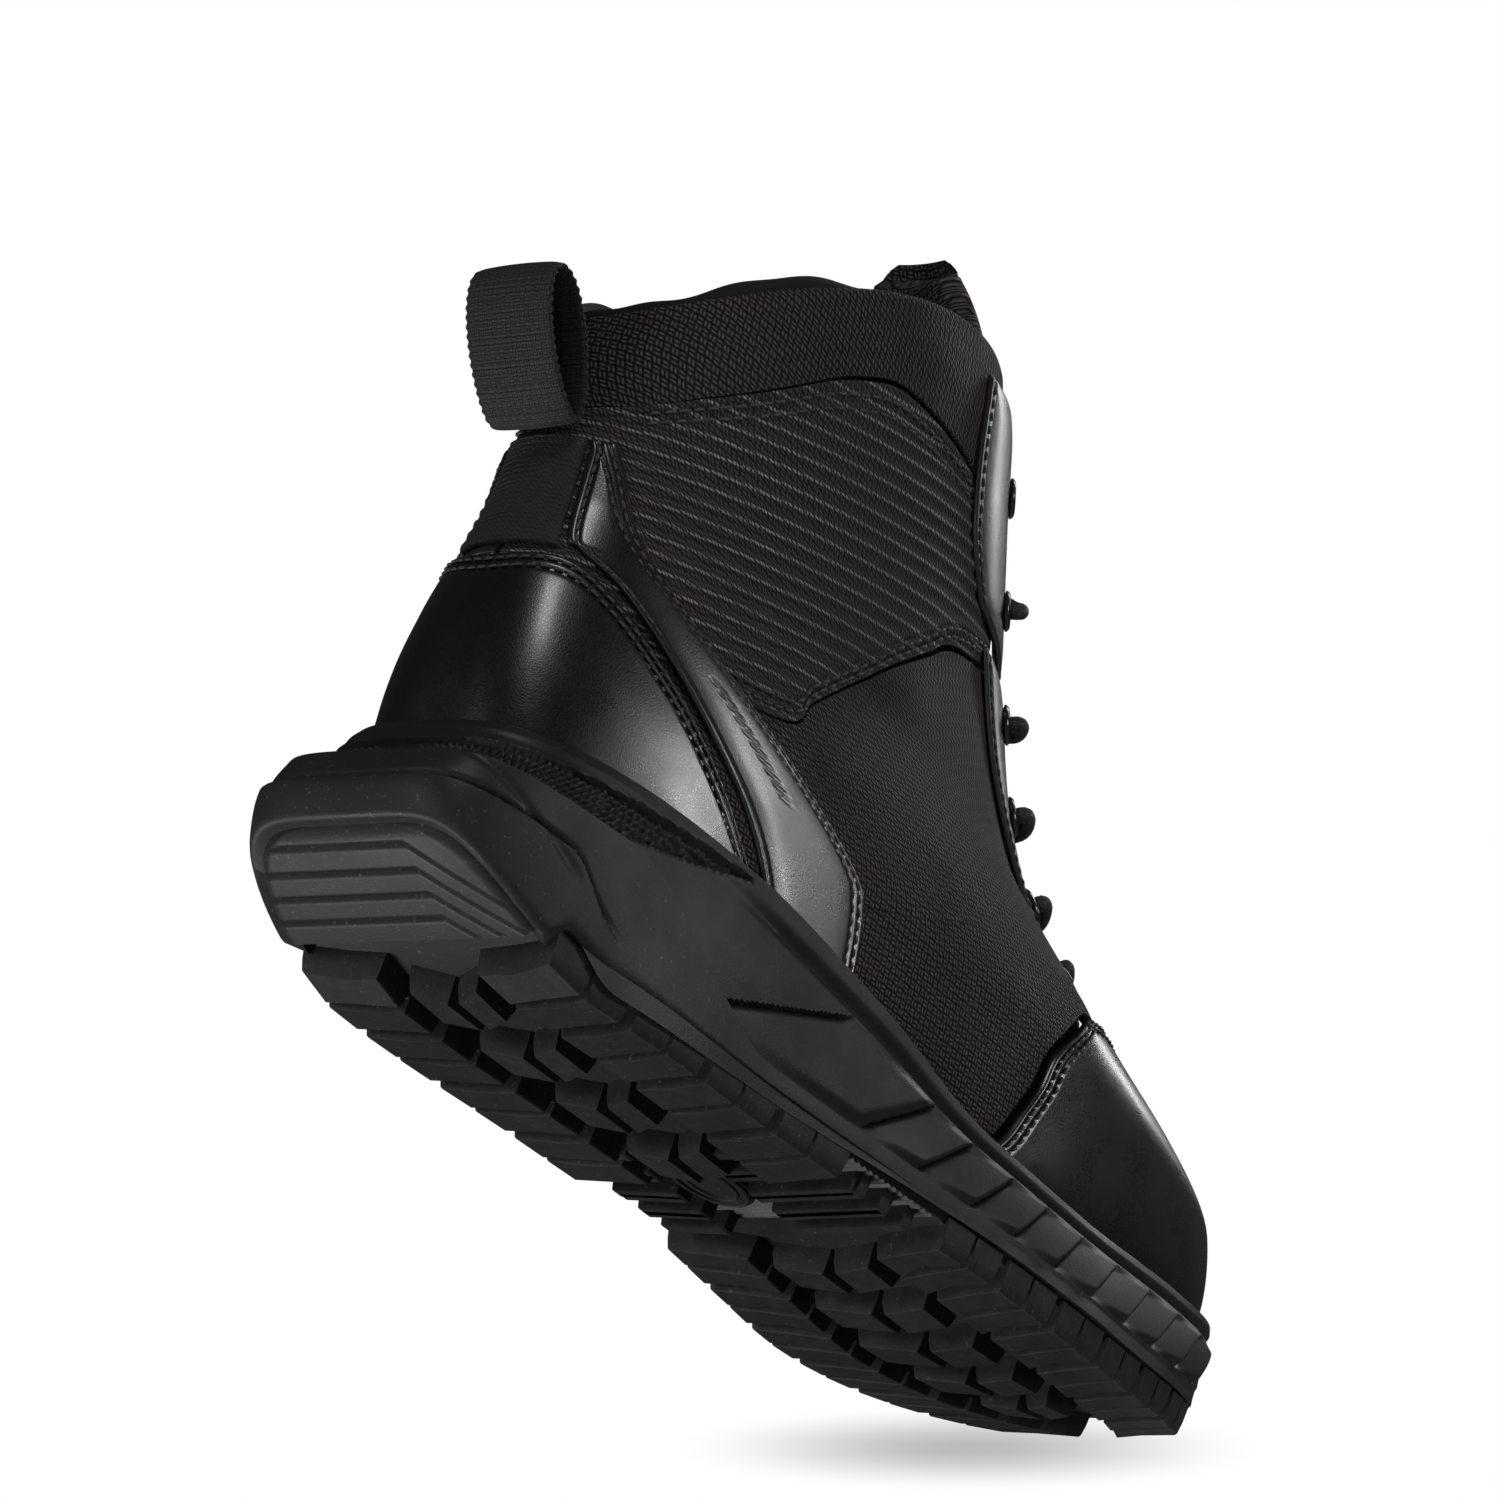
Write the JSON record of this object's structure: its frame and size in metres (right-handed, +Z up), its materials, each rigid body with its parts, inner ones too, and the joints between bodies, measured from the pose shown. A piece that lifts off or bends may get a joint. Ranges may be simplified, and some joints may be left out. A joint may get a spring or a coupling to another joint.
{
  "type": "steel toe work boot",
  "caption": "Lace-up safety boot: lugged rubber outsole, cupped midsole, leather and nylon upper over a steel toe cap, folding tongue top and hinged heel pull loop.",
  "frame": {"origin": "on the ground under the middle of the standing boot", "axes": "+X to the toe, +Y to the inner (medial) side, +Z up from the tread"},
  "size_m": [0.3212, 0.0912, 0.2258],
  "materials": {
    "outsole_rubber": "matte moulded black rubber, fine grain",
    "midsole_foam": "satin moulded charcoal foam skin",
    "leather": "semi-gloss black full-grain",
    "nylon": "coarse basket-weave ballistic nylon",
    "ribbed_nylon": "ribbed knit nylon",
    "webbing": "woven black webbing",
    "lace_cord": "braided round black lace",
    "lining_mesh": "black air mesh",
    "padding": "cloth-covered foam",
    "fibreboard": "pressed fibre board",
    "steel": "plain pressed steel",
    "eyelet_enamel": "gloss black enamel"
  },
  "bodies": {
    "root": {"outsole": "outsole_rubber", "midsole": "midsole_foam", "shank": "steel", "insole_board": "fibreboard", "footbed": "padding", "steel_toe_cap": "steel", "toe_cap_edging": "padding", "heel_counter": "fibreboard", "collar_padding": "padding", "lining_vamp": "lining_mesh", "lining_quarter_lateral": "lining_mesh", "lining_quarter_medial": "lining_mesh", "lining_collar_lateral": "lining_mesh", "lining_collar_medial": "lining_mesh", "toe_leather": "leather", "heel_cover": "leather", "back_strap": "webbing", "tongue": "nylon", "quarter_lateral": "nylon", "ankle_panel_lateral": "ribbed_nylon", "collar_panel_lateral": "nylon", "side_stay_lateral": "leather", "eyestay_upper_lateral": "leather", "eyestay_lower_lateral": "leather", "eyelet_lateral_1": "eyelet_enamel", "eyelet_lateral_2": "eyelet_enamel", "eyelet_lateral_3": "eyelet_enamel", "eyelet_lateral_4": "eyelet_enamel", "eyelet_lateral_5": "eyelet_enamel", "eyelet_lateral_6": "eyelet_enamel", "quarter_medial": "nylon", "ankle_panel_medial": "ribbed_nylon", "collar_panel_medial": "nylon", "side_stay_medial": "leather", "eyestay_upper_medial": "leather", "eyestay_lower_medial": "leather", "eyelet_medial_1": "eyelet_enamel", "eyelet_medial_2": "eyelet_enamel", "eyelet_medial_3": "eyelet_enamel", "eyelet_medial_4": "eyelet_enamel", "eyelet_medial_5": "eyelet_enamel", "eyelet_medial_6": "eyelet_enamel", "lace": "lace_cord", "aglet_a": "eyelet_enamel", "aglet_b": "eyelet_enamel"},
    "pull_loop": {"pull_loop": "webbing"},
    "tongue_top": {"tongue_top": "nylon"}
  },
  "joints": [
    {"name": "pull_loop_fold", "type": "hinge", "parent": "root", "child": "pull_loop", "pos_m": [-0.1375, 0.0038, 0.1262], "axis": [0, 1, 0], "range_deg": [-70, 10]},
    {"name": "tongue_fold", "type": "hinge", "parent": "root", "child": "tongue_top", "pos_m": [-0.006, 0.0038, 0.1885], "axis": [0, 1, 0], "range_deg": [-10, 55]}
  ]
}
